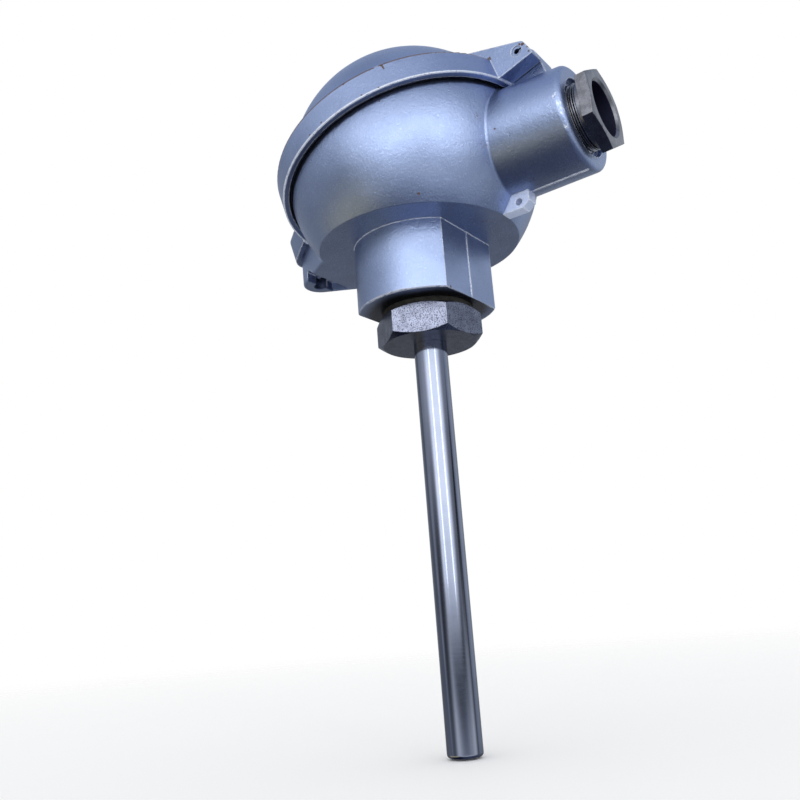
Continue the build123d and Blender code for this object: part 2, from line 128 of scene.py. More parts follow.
def parting_axes(hinge_reach: float = 48.6, hinge_height: float = 3.8) -> Axes:
    """The tilted plane between bowl and lid, worked out from the lid's hinge and its screw.

    Args:
        hinge_reach: distance of the hinge pin from the middle of the head.
        hinge_height: height of the pin over the parting plane.

    Returns:
        Axes with the plane's normal as their axis.
    """
    normal = Vector(joint("lid_screw_slide")["axis"]).normalized()
    across = Vector((0.0, 1.0, 0.0)).cross(normal)
    pin = Vector(joint("lid_hinge")["pos_m"]) / MM
    origin = pin - hinge_reach * across - hinge_height * normal
    return Axes(tuple(origin), tuple(across), (0.0, 1.0, 0.0), tuple(normal))


def gland_axes() -> Axes:
    """The cable gland's axis.

    Returns:
        Axes whose origin is where the gland's axis crosses the stem's.
    """
    gland = joint("gland_nut_turn")
    axis = Vector(gland["axis"]).normalized()
    pos = Vector(gland["pos_m"]) / MM
    origin = pos - axis * (pos.x / axis.x)
    across = Vector((0.0, 1.0, 0.0))
    return Axes(tuple(origin), tuple(across), tuple(axis.cross(across)), tuple(axis))


PARTING = parting_axes()
GLAND = gland_axes()


class Socket:
    """The output of a shader node. Arithmetic on it adds Math nodes, and plain numbers join in."""

    def __init__(self, shader: "Shader", link: bpy.types.NodeSocket | None) -> None:
        """Keeps the shader and the node's output, if it has one."""
        self.shader = shader
        self.link = link

    def math(self, operation: str, *others: Operand) -> "Socket":
        """Adds a Math node with this socket as its first value."""
        inputs = dict(enumerate((self, *others)))
        return self.shader.node("ShaderNodeMath", {"operation": operation}, inputs)

    def __add__(self, other: Operand) -> "Socket":
        """Sum."""
        return self.math("ADD", other)

    __radd__ = __add__

    def __mul__(self, other: Operand) -> "Socket":
        """Product."""
        return self.math("MULTIPLY", other)

    __rmul__ = __mul__

    def __sub__(self, other: Operand) -> "Socket":
        """Difference."""
        return self.math("SUBTRACT", other)

    def __rsub__(self, other: float) -> "Socket":
        """Difference from a number, such as 1 - mask."""
        return (self * -1.0) + other

    def __pow__(self, other: float) -> "Socket":
        """Power."""
        return self.math("POWER", other)

    def most(self, other: Operand) -> "Socket":
        """The larger of two values."""
        return self.math("MAXIMUM", other)

    def size(self) -> "Socket":
        """The value without its sign."""
        return self.math("ABSOLUTE")

    def step(self, low: float, high: float) -> "Socket":
        """Rises smoothly from 0 to 1, or falls where low is the larger.

        Args:
            low: the value at which it is 0.
            high: the value at which it is 1.

        Returns:
            The result, as a Socket.
        """
        ends = {1: low, 2: high} if low <= high else {1: high, 2: low, 3: 1.0, 4: 0.0}
        return self.shader.node("ShaderNodeMapRange", {"interpolation_type": "SMOOTHSTEP"}, {0: self, **ends})

    def vector(self, operation: str, *others: Any, output: int | str = 0) -> "Socket":
        """Adds a Vector Math node with this socket as its first vector."""
        inputs = dict(enumerate((self, *others)))
        return self.shader.node("ShaderNodeVectorMath", {"operation": operation}, inputs, output)

    def dot(self, direction: Union["Socket", Triple]) -> "Socket":
        """A vector's length along a direction."""
        return self.vector("DOT_PRODUCT", direction, output="Value")

    def minus(self, point: Triple) -> "Socket":
        """A vector less a fixed one."""
        return self.vector("SUBTRACT", point)

    def times(self, factors: Triple) -> "Socket":
        """A vector, multiplied part by part."""
        return self.vector("MULTIPLY", factors)

    def length(self) -> "Socket":
        """A vector's length."""
        return self.vector("LENGTH", output="Value")

    def height(self) -> "Socket":
        """A place's height."""
        return self.dot((0.0, 0.0, 1.0))

    def off_stem(self) -> "Socket":
        """A place's distance from the stem's axis."""
        return self.times((1.0, 1.0, 0.0)).length()


class Shader:
    """The node tree of a material or of the world. Every node comes from one method."""

    def __init__(self, holder: bpy.types.Material | bpy.types.World) -> None:
        """Empties the tree.

        Args:
            holder: the material or the world.
        """
        holder.use_nodes = True
        self.holder = holder
        self.tree = holder.node_tree
        self.tree.nodes.clear()

    def node(
        self, kind: str, settings: dict[str, Any] | None = None, inputs: dict[Any, Any] | None = None,
        output: int | str = 0,
    ) -> Socket:
        """Adds a node.

        Args:
            kind: the node's type.
            settings: its properties, which are set first.
            inputs: values or sockets, by input name or number.
            output: the output that is wanted.

        Returns:
            That output as a Socket, which is empty where the node ends the tree.
        """
        made = self.tree.nodes.new(kind)
        for key, value in (settings or {}).items():
            setattr(made, key, value)
        for key, value in (inputs or {}).items():
            if isinstance(value, Socket):
                self.tree.links.new(value.link, made.inputs[key])
            else:
                made.inputs[key].default_value = value
        return Socket(self, made.outputs[output] if made.outputs else None)

    def close(self, surface: Socket, kind: str = "ShaderNodeOutputMaterial") -> Any:
        """Ends the tree and returns the material or the world that holds it."""
        self.node(kind, None, {"Surface": surface})
        return self.holder

    def place(self) -> Socket:
        """The point on the piece, in millimetres of the frame."""
        return self.node("ShaderNodeTexCoord", output="Object").times((1 / MM, 1 / MM, 1 / MM))

    def local(self, place: Socket, axes: Axes) -> tuple[Socket, Socket, Socket]:
        """A place's coordinates in local axes: across, aside and along."""
        offset = place.minus(axes.origin)
        return offset.dot(axes.across), offset.dot(axes.aside), offset.dot(axes.along)

    def turned(self, place: Socket, axes: Axes) -> tuple[Socket, Socket]:
        """A place's distance from the axis of local axes, and how far along it is."""
        across, aside, along = self.local(place, axes)
        return (across * across + aside * aside) ** 0.5, along

    def noise(self, place: Socket, grain: float, detail: float = 2.0, roughness: float = 0.5) -> Socket:
        """Smooth noise about 0.5 whose patches are about one grain wide."""
        inputs = {"Vector": place, "Scale": 1 / grain, "Detail": detail, "Roughness": roughness}
        return self.node("ShaderNodeTexNoise", None, inputs)

    def flakes(self, place: Socket, grain: float) -> Socket:
        """A random value from 0 to 1 for each cell of one grain."""
        colour = self.node("ShaderNodeTexVoronoi", None, {"Vector": place, "Scale": 1 / grain}, "Color")
        return self.node("ShaderNodeSeparateColor", None, {0: colour})

    def mix(self, factor: Operand, first: Any, second: Any) -> Socket:
        """Blends two colours.

        Args:
            factor: 0 for the first colour and 1 for the second.
            first: a socket or three numbers.
            second: a socket or three numbers.

        Returns:
            The blend, as a Socket. Inputs 6 and 7 and output 2 are those that a Mix node has for colours.
        """
        first, second = ((*c, 1.0) if isinstance(c, tuple) else c for c in (first, second))
        return self.node("ShaderNodeMix", {"data_type": "RGBA"}, {0: factor, 6: first, 7: second}, 2)

    def rounded(self, radius: float) -> Socket:
        """The normal with every edge rounded by a radius in millimetres."""
        return self.node("ShaderNodeBevel", {"samples": EDGE_SAMPLES}, {"Radius": radius * MM})

    def face_normal(self) -> Socket:
        """The mesh's own normal."""
        return self.node("ShaderNodeNewGeometry", output="Normal")

    def sharpness(self, normal: Socket) -> Socket:
        """How far the rounded normal is from the face's own: 0 on open faces, more at edges."""
        return 1.0 - normal.dot(self.face_normal())

    def bump(self, height: Socket, depth: float, normal: Socket) -> Socket:
        """A normal bent by a height of 0 to 1, whose full depth is given in millimetres."""
        inputs = {"Height": height, "Strength": 1.0, "Distance": depth * MM, "Normal": normal}
        return self.node("ShaderNodeBump", None, inputs)

    def finish(self, **inputs: Any) -> bpy.types.Material:
        """Ends the tree with a Principled surface; names with _ stand for names with spaces."""
        values = {key.replace("_", " "): value for key, value in inputs.items()}
        return self.close(self.node("ShaderNodeBsdfPrincipled", None, values))


@dataclass(frozen=True)
class Chip:
    """A small spot on the lacquer: its place and how far it reaches, in millimetres."""

    place: Triple
    size: float


@dataclass(frozen=True)
class Circle:
    """A circle round the lid's axis: its radius, and its height over the parting plane."""

    radius: float
    height: float = 0.0

    def gap(self, shader: Shader, place: Socket) -> Socket:
        """How far a place is from the circle, as the larger of its two parts."""
        radial, along = shader.turned(place, PARTING)
        return (radial - self.radius).size().most((along - self.height).size())


@dataclass(frozen=True)
class Chipping:
    """Where the lacquer has come off: placed chips, stray specks, and a broken line along a crease."""

    chips: tuple[Chip, ...] = ()
    border_grain: float = 0.5
    raggedness: float = 1.3
    core: float = 0.7
    speck_spacing: float = 2.6
    speck_share: Span = (0.9975, 0.9985)
    speck_grain: float = 0.35
    speck_form: Span = (0.56, 0.60)
    crease: Circle | None = None
    crease_width: Span = (0.75, 0.42)
    crease_grain: float = 3.0
    crease_cover: Span = (0.33, 0.42)
    crease_strength: float = 0.9

    def mask(self, shader: Shader, place: Socket) -> Socket:
        """Finds what is chipped.

        Args:
            shader: the material's tree.
            place: the point on the piece, in millimetres.

        Returns:
            1 where the lacquer is gone and 0 elsewhere, with ragged borders.
        """
        ragged = (shader.noise(place, self.border_grain, 3.0) - NOISE_MIDDLE) * self.raggedness
        specks = shader.flakes(place, self.speck_spacing).step(*self.speck_share)
        gone = specks * shader.noise(place, self.speck_grain).step(*self.speck_form)
        for chip in self.chips:
            reach = place.minus(chip.place).length() + ragged * chip.size
            gone = gone.most(reach.step(chip.size, chip.size * self.core))
        if self.crease:
            broken = shader.noise(place, self.crease_grain, 3.0).step(*self.crease_cover)
            line = self.crease.gap(shader, place).step(*self.crease_width)
            gone = gone.most(line * broken * self.crease_strength)
        return gone


@dataclass(frozen=True)
class EdgeWearAndHighlight:
    """Bright marks on the lacquer: edge lines that are partly worn metal and partly painted highlight, a
    painted highlight along the lid's rim, and worn scuffs.
    """

    sharpness: Span = (0.002, 0.03)
    edge_grain: float = 1.1
    edge_cover: Span = (0.30, 0.50)
    rim: Circle | None = None
    rim_width: Span = (0.62, 0.28)
    rim_grain: float = 0.9
    rim_cover: Span = (0.33, 0.45)
    unmarked_level: float | None = None
    unmarked_height: Span = (1.2, 0.8)
    unmarked_reach: Span = (24.0, 25.0)
    scuffs: tuple[Chip, ...] = ()
    scuff_core: float = 0.4
    scuff_grain: float = 0.55
    scuff_cover: Span = (0.50, 0.58)
    scuff_stretch: Triple = (1.0, 1.0, 0.5)

    def mask(self, shader: Shader, place: Socket, normal: Socket, free: Operand) -> Socket:
        """Finds the bright marks: worn metal and painted highlight.

        Args:
            shader: the material's tree.
            place: the point on the piece, in millimetres.
            normal: the normal with rounded edges.
            free: 0 where the piece joins another one, whose edge there isn't a real one.

        Returns:
            1 on the bright marks, worn metal and painted highlight, and 0 elsewhere.
        """
        # bright lines at every convex and concave edge, broken up by noise: partly worn metal, partly painted
        # highlight
        cover = shader.noise(place, self.edge_grain, 4.0, 0.7).step(*self.edge_cover)
        bright_marks = shader.sharpness(normal).step(*self.sharpness) * cover * free
        if self.rim:
            # painted highlight along the flange's lower edge, broken up by noise
            cover = shader.noise(place, self.rim_grain, 4.0, 0.7).step(*self.rim_cover)
            bright_marks = bright_marks.most(self.rim.gap(shader, place).step(*self.rim_width) * cover)
        # no bright edge lines at the foot's level away from the stem
        if self.unmarked_level:
            level = (place.height() - self.unmarked_level).size().step(*self.unmarked_height)
            bright_marks = bright_marks * (1.0 - level * place.off_stem().step(*self.unmarked_reach))
        for scuff in self.scuffs:
            cover = shader.noise(place.times(self.scuff_stretch), self.scuff_grain, 4.0, 0.7)
            reach = place.minus(scuff.place).length().step(scuff.size, self.scuff_core * scuff.size)
            bright_marks = bright_marks.most(reach * cover.step(*self.scuff_cover))
        return bright_marks


@dataclass(frozen=True)
class PaintedShade:
    """Painted shade: a painted shadow on the bowl's wall under the lid's edge, and painted shade round the
    bush.
    """

    depth: float
    bush_seat: float
    grain: float = 2.2
    raggedness: float = 0.8
    wall_inside: Span = (38.4, 38.8)
    wall_outside: Span = (40.4, 40.0)
    wall_top: Span = (0.5, 0.2)
    fade: float = 0.5
    strength: float = 0.9
    bush_reach: Span = (21.2, 16.2)
    bush_height: Span = (0.3, 0.1)

    def mask(self, shader: Shader, place: Socket) -> Socket:
        """Finds where shade is painted.

        Args:
            shader: the material's tree.
            place: the point on the piece, in millimetres.

        Returns:
            1 where shade is painted and 0 elsewhere, with soft borders.
        """
        ragged = (shader.noise(place, self.grain, 3.0) - NOISE_MIDDLE) * self.raggedness
        radial, along = shader.turned(place, PARTING)
        wall = radial.step(*self.wall_inside) * radial.step(*self.wall_outside) * along.step(*self.wall_top)
        # painted shadow on the bowl's wall just under the lid's edge
        lid_shadow = (along + ragged).step(-self.depth, -self.fade * self.depth) * wall * self.strength
        low, high = (self.bush_seat + part for part in self.bush_height)
        # painted shade on the housing's underside round the bush
        return lid_shadow.most(place.off_stem().step(*self.bush_reach) * place.height().step(low, high))


@dataclass(frozen=True)
class CastLacquer:
    """Silver blue lacquer over a fine cast skin, with metal flakes, bright edge marks of worn metal and painted
    highlight, chips, and painted shade.
    """

    name: str
    chipping: Chipping = Chipping()
    wear_and_highlight: EdgeWearAndHighlight = EdgeWearAndHighlight()
    painted_shade: PaintedShade | None = None
    joined_below: float | None = None
    joint_fade: Span = (0.5, 1.1)
    bowl_drop: float = 0.5
    tint: Colour = (0.270, 0.345, 0.560)
    shade: Colour = (0.232, 0.298, 0.490)
    flake: Colour = (0.52, 0.60, 0.80)
    bright_mark_tint: Colour = (0.80, 0.86, 0.97)
    under: Colour = (0.085, 0.040, 0.028)
    shadow_tint: Colour = (0.012, 0.015, 0.030)
    patch: float = 16.0
    patch_form: Span = (0.35, 0.65)
    flake_grain: float = 0.30
    flake_share: Span = (0.78, 1.0)
    flake_strength: float = 0.10
    bright_mark_strength: float = 0.85
    metallic: float = 0.90
    bright_mark_haze: float = 0.75
    roughness: float = 0.31
    grain_swing: float = 0.20
    bright_mark_polish: float = 0.10
    flake_polish: float = 0.03
    chip_dullness: float = 0.35
    coat: float = 0.12
    coat_roughness: float = 0.28
    grain: float = 0.62
    relief: float = 0.100
    swell: float = 2.2
    swell_relief: float = 0.060
    edge_rounding: float = 0.50

    def free(self, shader: Shader, place: Socket) -> Operand:
        """Finds where a piece is cast onto the bowl.

        Args:
            shader: the material's tree.
            place: the point on the piece, in millimetres.

        Returns:
            0 at the joint and 1 a little way out from it, or plain 1 for a piece that has no joint.
        """
        if not self.joined_below:
            return 1.0
        across, aside, along = shader.local(place, PARTING)
        raised = along + self.bowl_drop
        out = (across * across + aside * aside + raised * raised) ** 0.5
        return out.step(*(self.joined_below + part for part in self.joint_fade))

    def build(self) -> bpy.types.Material:
        """Makes the material.

        Returns:
            The material. Its normal is bent by the broad swell first, and then by the fine grain.
        """
        shader = Shader(bpy.data.materials.new(self.name))
        place = shader.place()
        fine = shader.noise(place, self.grain, 5.0, 0.7)
        normal = shader.rounded(self.edge_rounding)
        free = self.free(shader, place)
        bright_marks = self.wear_and_highlight.mask(shader, place, normal, free)
        if self.joined_below:
            normal = shader.mix(free, shader.face_normal(), normal)
        sparkle = shader.flakes(place, self.flake_grain).step(*self.flake_share)
        chipped = self.chipping.mask(shader, place)
        colour = shader.mix(shader.noise(place, self.patch).step(*self.patch_form), self.shade, self.tint)
        colour = shader.mix(sparkle * self.flake_strength, colour, self.flake)
        # bright marks in a paler, less metallic colour: worn metal and painted highlight
        colour = shader.mix(bright_marks * self.bright_mark_strength, colour, self.bright_mark_tint)
        colour = shader.mix(chipped, colour, self.under)
        # painted shade: the shade under the lid's edge and round the bush is painted into the colour
        if self.painted_shade:
            colour = shader.mix(self.painted_shade.mask(shader, place), colour, self.shadow_tint)
        roughness = (fine - NOISE_MIDDLE) * self.grain_swing + self.roughness - bright_marks * self.bright_mark_polish
        roughness = roughness - sparkle * self.flake_polish + chipped * self.chip_dullness
        swollen = shader.bump(shader.noise(place, self.swell, 3.0, 0.6), self.swell_relief, normal)
        return shader.finish(
            Base_Color=colour, Metallic=(1.0 - chipped) * (1.0 - bright_marks * self.bright_mark_haze) * self.metallic,
            Roughness=roughness, Coat_Weight=self.coat, Coat_Roughness=self.coat_roughness,
            Normal=shader.bump(fine, self.relief, swollen),
        )


@dataclass(frozen=True)
class Metal:
    """Bare metal: a tint with stains, fine tool marks stretched by the marks' factors, and small pits."""

    name: str
    tint: Colour
    stain: Colour
    roughness: float = 0.28
    stain_size: float = 5.0
    stain_form: Span = (0.35, 0.68)
    stain_swing: float = 0.12
    marks: Triple = (1.0, 1.0, 1.0)
    mark_size: float = 0.35
    mark_swing: float = 0.22
    mark_depth: float = 0.004
    pits: float = 0.0
    pit_grain: float = 0.30
    pit_form: Span = (0.54, 0.60)
    pit_level: float = 0.20
    edge_rounding: float = 0.12
    anisotropic: float = 0.0
    shaded_bore_radius: float | None = None
    shaded_bore_border: Span = (0.15, 0.05)
    bore_shade_tint: Colour = (0.030, 0.033, 0.070)
    shaded_bore_dullness: float = 0.4

    def build(self) -> bpy.types.Material:
        """Makes the material.

        Returns:
            The material. Within a set radius of the gland's axis it is painted dark and dull, as painted shade
            inside the bore.
        """
        shader = Shader(bpy.data.materials.new(self.name))
        place = shader.place()
        stains = shader.noise(place, self.stain_size, 4.0, 0.6)
        tool = shader.noise(place.times(self.marks), self.mark_size, 3.0, 0.6)
        colour = shader.mix(stains.step(*self.stain_form), self.tint, self.stain)
        if self.pits:
            pits = shader.noise(place, self.pit_grain, 1.0).step(*self.pit_form)
            colour = shader.mix(pits * self.pits, colour, tuple(self.pit_level * part for part in self.stain))
        roughness = (tool - NOISE_MIDDLE) * self.mark_swing + (stains - NOISE_MIDDLE) * self.stain_swing
        roughness = roughness + self.roughness
        # painted shade inside the gland's bore: darker and duller than the metal
        if self.shaded_bore_radius:
            radial, _ = shader.turned(place, GLAND)
            shaded_bore = radial.step(*(self.shaded_bore_radius + part for part in self.shaded_bore_border))
            colour = shader.mix(shaded_bore, colour, self.bore_shade_tint)
            roughness = roughness + shaded_bore * self.shaded_bore_dullness
        return shader.finish(
            Base_Color=colour, Metallic=1.0, Roughness=roughness, Anisotropic=self.anisotropic,
            Normal=shader.bump(tool, self.mark_depth, shader.rounded(self.edge_rounding)),
        )


@dataclass(frozen=True)
class Plain:
    """A material that isn't metal: two shades in patches, with a fine surface grain."""

    name: str
    light: Colour
    dark: Colour
    roughness: float
    patch: float = 3.0
    patch_form: Span = (0.35, 0.65)
    grain: float = 0.3
    grain_swing: float = 0.2
    relief: float = 0.02
    edge_rounding: float = 0.15

    def build(self) -> bpy.types.Material:
        """Makes the material.

        Returns:
            The material.
        """
        shader = Shader(bpy.data.materials.new(self.name))
        place = shader.place()
        patches = shader.noise(place, self.patch, 4.0, 0.6).step(*self.patch_form)
        fine = shader.noise(place, self.grain, 3.0)
        return shader.finish(
            Base_Color=shader.mix(patches, self.dark, self.light), Metallic=0.0,
            Roughness=(fine - NOISE_MIDDLE) * self.grain_swing + self.roughness,
            Normal=shader.bump(fine, self.relief, shader.rounded(self.edge_rounding)),
        )


def linked(name: str, data: Any) -> bpy.types.Object:
    """Links a new object to the scene.

    Args:
        name: its name.
        data: its mesh, camera or lamp.

    Returns:
        The object.
    """
    made = bpy.data.objects.new(name, data)
    bpy.context.scene.collection.objects.link(made)
    return made


def closed_grid(name: str, points: np.ndarray, crease: float = 35.0) -> bpy.types.Object:
    """Makes a mesh from a grid of points that closes on itself both ways, as a ring's surface does.

    Face (i, j) joins the points (i, j), (i, j + 1), (i + 1, j + 1) and (i + 1, j), all counted round.

    Args:
        name: the piece's name.
        points: rows by columns by 3, in millimetres.
        crease: angle in degrees past which an edge stays sharp.

    Returns:
        The new object, linked to the scene.
    """
    rows, columns = points.shape[:2]
    index = np.arange(rows * columns).reshape(rows, columns)
    below, beside = np.roll(index, -1, 0), np.roll(index, -1, 1)
    across = np.roll(below, -1, 1)
    faces = np.stack([index, beside, across, below], -1).reshape(-1, 4)
    mesh = bpy.data.meshes.new(name)
    mesh.from_pydata((points.reshape(-1, 3) * MM).tolist(), [], faces.tolist())
    mesh.shade_smooth()
    mesh.set_sharp_from_angle(angle=math.radians(crease))
    return linked(name, mesh)


@dataclass(frozen=True)
class Thread:
    """A rounded screw thread between two reaches along an axis."""

    crest: float
    root: float
    pitch: float
    start: float
    end: float
    run_out: float = 0.8
    flatness: float = 1.7

    def radius(self, turn: np.ndarray, reach: np.ndarray) -> np.ndarray:
        """The surface's radius.

        It swings between root and crest as a flattened cosine of the phase reach / pitch - turn / full turn,
        and fades to the root at both ends.

        Args:
            turn: angles round the axis, in radians.
            reach: distances along the axis.

        Returns:
            Radii, as an array of both arguments' joint shape.
        """
        phase = 2 * np.pi * (reach / self.pitch) - turn
        wave = 0.5 + 0.5 * np.tanh(self.flatness * np.cos(phase)) / np.tanh(self.flatness)
        fade = np.clip(np.minimum(reach - self.start, self.end - reach) / self.run_out, 0, 1)
        return self.root + (self.crest - self.root) * wave * fade * fade * (3 - 2 * fade)

    def reaches(self, per_turn: int = 12) -> np.ndarray:
        """Even steps along the thread, with a number for each turn."""
        count = int((self.end - self.start) / self.pitch * per_turn) + 1
        return np.linspace(self.start, self.end, count)


def turned(axes: Axes, reach: np.ndarray, radius: np.ndarray, turn: np.ndarray) -> np.ndarray:
    """Points of a turned surface, each at axis * reach + radius * (cos turn, sin turn).

    Args:
        axes: the local frame.
        reach: one value for each row.
        radius: rows by turns.
        turn: angles, in radians.

    Returns:
        Rows by turns by 3 points, in millimetres.
    """
    along = np.broadcast_to(reach[:, None], radius.shape)
    points = axes.points(radius * np.cos(turn), radius * np.sin(turn), along)
    return points.reshape(*radius.shape, 3)


@dataclass
class PressureNut:
    """The gland's hexagon nut: a threaded shank, flats with turned corners, and a chamfered bore."""

    across_flats: float = 22.0
    bore: float = 16.0
    bore_chamfer: float = 0.8
    inner_end: float = 50.5
    inner_step: float = 0.2
    back: float = 60.6
    back_inset: float = 0.5
    front: float = 64.0
    corner_angle: float = 12.0
    corner_turn: float = 30.0
    collar_radius: float = 9.95
    collar_length: float = 1.3
    sides: int = 6
    steps_per_side: int = 32
    corner_rings: int = 8
    bore_rings: int = 8
    thread: Thread = Thread(crest=9.90, root=9.30, pitch=1.25, start=50.7, end=59.3)

    def hexagon(self, turn: np.ndarray) -> np.ndarray:
        """Works out the hexagon: half its width over the cosine of the angle from the flat's middle.

        Args:
            turn: angles round the axis, in radians.

        Returns:
            Radii, one for each angle.
        """
        sector = 2 * math.pi / self.sides
        from_corner = (turn - math.radians(self.corner_turn)) % sector
        return self.across_flats / 2 / np.cos(from_corner - sector / 2)

    def points(self) -> np.ndarray:
        """Works out the whole surface: shank, back face, flats, turned corners, mouth and bore.

        Returns:
            Rings by turns by 3 points, in millimetres.
        """
        count = self.sides * self.steps_per_side
        turn = math.radians(self.corner_turn) + np.arange(count) * 2 * math.pi / count
        even = np.ones(count)
        reach, radius = [self.inner_end], [even * self.bore / 2]

        def ring(at: float, size: np.ndarray) -> None:
            """Adds one ring."""
            reach.append(at)
            radius.append(size)

        ring(self.inner_end, even * (self.thread.root - self.inner_step))
        for at in self.thread.reaches():
            ring(float(at), self.thread.radius(turn, np.array(at)))
        ring(self.back - self.collar_length, even * self.collar_radius)
        ring(self.back, even * self.collar_radius)
        ring(self.back, even * (self.across_flats / 2 - self.back_inset))
        flats = self.hexagon(turn)
        slope = math.tan(math.radians(self.corner_angle))
        deepest = (flats.max() - self.across_flats / 2) * slope
        for at in (self.back, *np.linspace(self.front - deepest, self.front, self.corner_rings)):
            ring(float(at), np.minimum(flats, self.across_flats / 2 + (self.front - at) / slope))
        ring(self.front, even * (self.bore / 2 + self.bore_chamfer))
        ring(self.front - self.bore_chamfer, even * self.bore / 2)
        for at in np.linspace(self.front - self.bore_chamfer, self.inner_end, self.bore_rings)[1:-1]:
            ring(float(at), even * self.bore / 2)
        return turned(GLAND, np.array(reach), np.array(radius), turn)

    def build(self, finish: bpy.types.Material) -> bpy.types.Object:
        """Makes the nut and lets it turn with its body.

        Args:
            finish: its material.

        Returns:
            The new object.
        """
        nut = closed_grid("pressure_nut", self.points())
        nut.data.materials.append(finish)
        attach(nut, Body.GLAND_NUT.value)
        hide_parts("gland_nut")
        return nut


@dataclass
class ScrewThread:
    """The thread on the lid screw's shank, as a thin sleeve round its core."""

    reach: float = 46.6
    aside: float = 1.6
    core: float = 1.9
    columns: int = 48
    steps_per_pitch: int = 10
    thread: Thread = Thread(crest=2.46, root=2.07, pitch=0.8, start=-4.5, end=-0.1, run_out=0.6)

    def build(self, finish: bpy.types.Material) -> bpy.types.Object:
        """Makes the sleeve: its outer rings follow the thread, and two inner rings close it.

        Args:
            finish: its material.

        Returns:
            The new object.
        """
        origin = PARTING.point(-self.reach, self.aside, 0.0)
        axes = Axes(origin, PARTING.across, PARTING.aside, PARTING.along)
        turn = np.arange(self.columns) * 2 * math.pi / self.columns
        reach = self.thread.reaches(self.steps_per_pitch)
        outer = self.thread.radius(turn[None, :], reach[:, None])
        inner = np.full((2, self.columns), self.core)
        rows = np.concatenate([reach, [self.thread.end, self.thread.start]])
        sleeve = closed_grid("lid_screw_thread", turned(axes, rows, np.concatenate([outer, inner]), turn))
        sleeve.data.materials.append(finish)
        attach(sleeve, Body.LID_SCREW.value)
        return sleeve


@dataclass
class PlateSprings:
    """The two springs over the insert's plate. The real ones shorten towards the screw heads as the insert
    rises; these keep their length.
    """

    held_at: float = 49.9
    length: float = 11.0
    travel: float = 5.0
    weld: float = 0.001

    def build(self, finish: bpy.types.Material) -> bpy.types.Object:
        """Copies the solids' mesh, joins its vertices and hangs the copy on the housing in place of the solids.

        Args:
            finish: its material.

        Returns:
            The new object.
        """
        solid = frame["nodes"]["plate_springs"]
        mesh = solid.data.copy()
        mesh.transform(solid.matrix_world)
        joined = bmesh.new()
        joined.from_mesh(mesh)
        bmesh.ops.remove_doubles(joined, verts=joined.verts, dist=self.weld * MM)
        joined.to_mesh(mesh)
        joined.free()
        mesh.materials.clear()
        mesh.materials.append(finish)
        springs = linked("coil_springs", mesh)
        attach(springs, Body.HOUSING.value)
        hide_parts("plate_springs")
        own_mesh(springs)
        return springs


